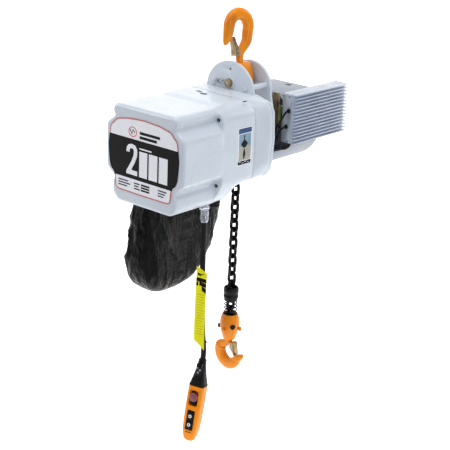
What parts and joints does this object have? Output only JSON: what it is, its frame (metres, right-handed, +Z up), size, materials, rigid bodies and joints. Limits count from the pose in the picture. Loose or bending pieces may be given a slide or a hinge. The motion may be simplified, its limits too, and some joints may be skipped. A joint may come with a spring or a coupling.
{
  "type": "electric chain hoist",
  "caption": "Hook-mounted two-tonne electric chain hoist with inverter drive, chain bag, swivel load hook and a hanging pendant control.",
  "frame": {"origin": "seat of the top hook, where the hoist hangs", "axes": "+Z up, -Y the motor end with the nameplate, +X the side with the drive's heat sink"},
  "size_m": [0.354, 0.7793, 1.3048],
  "materials": {
    "housing_paint": "gloss, fine orange peel",
    "nameplate_print": "satin printed plate, dark band between white fields",
    "hook_paint": "gloss over forged steel",
    "zinc": "yellow passivated zinc",
    "black_steel": "blackened, lightly oiled",
    "bright_steel": "turned",
    "cast_iron": "bare",
    "heat_sink_aluminium": "extruded, matte",
    "rubber": "matte black",
    "bag_cloth": "glossy coated cloth",
    "pendant_plastic": "moulded, satin gloss",
    "black_plastic": "moulded",
    "stop_red": "faded red",
    "electronics": "moulded",
    "tag_yellow": "printed card"
  },
  "bodies": {
    "frame": {"front_cover": "housing_paint", "gear_case": "housing_paint", "cover_screw_1": "black_steel", "cover_screw_2": "black_steel", "cover_screw_3": "black_steel", "cover_screw_4": "black_steel", "nameplate": "nameplate_print", "front_frame_plate": "housing_paint", "rear_frame_plate": "housing_paint", "spacer_tube_right": "housing_paint", "spacer_tube_left": "housing_paint", "suspension_pin": "zinc", "pin_keeper": "bright_steel", "sheave_bearing": "bright_steel", "chain_guide": "black_steel", "motor_stator": "cast_iron", "slack_chain": "black_steel", "chain_bag": "bag_cloth", "bag_bracket": "black_steel", "rear_housing": "housing_paint", "inverter_box": "heat_sink_aluminium", "heat_sink": "heat_sink_aluminium", "grommet_1": "rubber", "grommet_2": "rubber", "inverter_leads": "rubber", "contactor_plate": "zinc", "contactor": "electronics", "cable_gland": "bright_steel", "power_inlet": "rubber"},
    "yoke": {"hook_yoke": "hook_paint"},
    "top_hook": {"top_hook": "hook_paint"},
    "top_latch": {"top_latch": "zinc"},
    "sheave": {"load_sheave": "bright_steel", "output_gear": "bright_steel"},
    "middle_shaft": {"second_pinion": "bright_steel", "first_gear": "bright_steel"},
    "rotor": {"rotor": "bright_steel", "motor_pinion": "bright_steel", "brake_disc": "black_steel"},
    "load_block": {"load_chain": "black_steel", "stop_buffer": "rubber", "buffer_spring": "black_steel", "block_half_1": "hook_paint", "block_half_2": "hook_paint", "block_bolt_1": "black_steel", "block_bolt_2": "black_steel", "chain_pin": "black_steel"},
    "load_hook": {"load_hook": "hook_paint"},
    "load_latch": {"load_latch": "zinc"},
    "pendant": {"pendant_cable": "rubber", "cable_tag": "tag_yellow", "pendant_boot": "rubber", "pendant_front": "pendant_plastic", "pendant_back": "pendant_plastic", "stop_collar": "black_plastic", "button_pad": "black_plastic"},
    "stop_button": {"stop_button": "stop_red"},
    "up_button": {"up_button": "black_plastic"},
    "down_button": {"down_button": "black_plastic"}
  },
  "joints": [
    {"name": "hoist_tilt", "type": "hinge", "parent": "frame", "child": "yoke", "pos_m": [0.01902, 0, -0.181], "axis": [0, 1, 0], "range_deg": [-10, 18]},
    {"name": "top_hook_swivel", "type": "hinge", "parent": "yoke", "child": "top_hook", "pos_m": [0.01902, 0, -0.181], "axis": [-0.1045, 0, 0.9945], "continuous": true},
    {"name": "top_latch_pivot", "type": "hinge", "parent": "top_hook", "child": "top_latch", "pos_m": [0.00912, -0.01295, -0.09758], "axis": [-0.9907, 0.0872, -0.1041], "range_deg": [0, 20], "stiffness_Nm_per_rad": 0.3, "springref_deg": -17.19},
    {"name": "hook_lift", "type": "slide", "parent": "frame", "child": "load_block", "axis": [0, 0, 1], "range_m": [-0.085, 0.13], "deforming": ["slack_chain"]},
    {"name": "sheave_spin", "type": "hinge", "parent": "frame", "child": "sheave", "pos_m": [-0.02872, 0, -0.348], "axis": [0, 1, 0], "range_deg": [-159, 105]},
    {"name": "middle_shaft_spin", "type": "hinge", "parent": "frame", "child": "middle_shaft", "pos_m": [0.0138, 0, -0.28622], "axis": [0, 1, 0], "range_deg": [-411, 627]},
    {"name": "rotor_spin", "type": "hinge", "parent": "frame", "child": "rotor", "pos_m": [0.01902, 0, -0.348], "axis": [0, 1, 0], "range_deg": [-2603, 1703]},
    {"name": "load_hook_swivel", "type": "hinge", "parent": "load_block", "child": "load_hook", "pos_m": [0.01902, 0, -1.023], "axis": [0, 0, 1], "continuous": true},
    {"name": "load_latch_pivot", "type": "hinge", "parent": "load_hook", "child": "load_latch", "pos_m": [0.03401, -0.00052, -1.058], "axis": [0.0349, 0.9994, 0], "range_deg": [0, 20], "stiffness_Nm_per_rad": 0.3, "springref_deg": -17.19},
    {"name": "pendant_swing", "type": "hinge", "parent": "frame", "child": "pendant", "pos_m": [0.10902, -0.245, -0.556], "axis": [0, 1, 0], "range_deg": [-14, 14]},
    {"name": "stop_press", "type": "slide", "parent": "pendant", "child": "stop_button", "axis": [-0.309, 0.9336, -0.1815], "range_m": [-0.004, 0]},
    {"name": "up_press", "type": "slide", "parent": "pendant", "child": "up_button", "axis": [-0.309, 0.9336, -0.1815], "range_m": [0, 0.003], "stiffness_N_per_m": 300, "springref_m": -0.004},
    {"name": "down_press", "type": "slide", "parent": "pendant", "child": "down_button", "axis": [-0.309, 0.9336, -0.1815], "range_m": [0, 0.003], "stiffness_N_per_m": 300, "springref_m": -0.004}
  ],
  "couplings": [
    {"joint": "sheave_spin", "follows": "hook_lift", "rad_per_m": -20.944},
    {"joint": "middle_shaft_spin", "follows": "hook_lift", "rad_per_m": 83.777},
    {"joint": "rotor_spin", "follows": "hook_lift", "rad_per_m": -349.07}
  ]
}
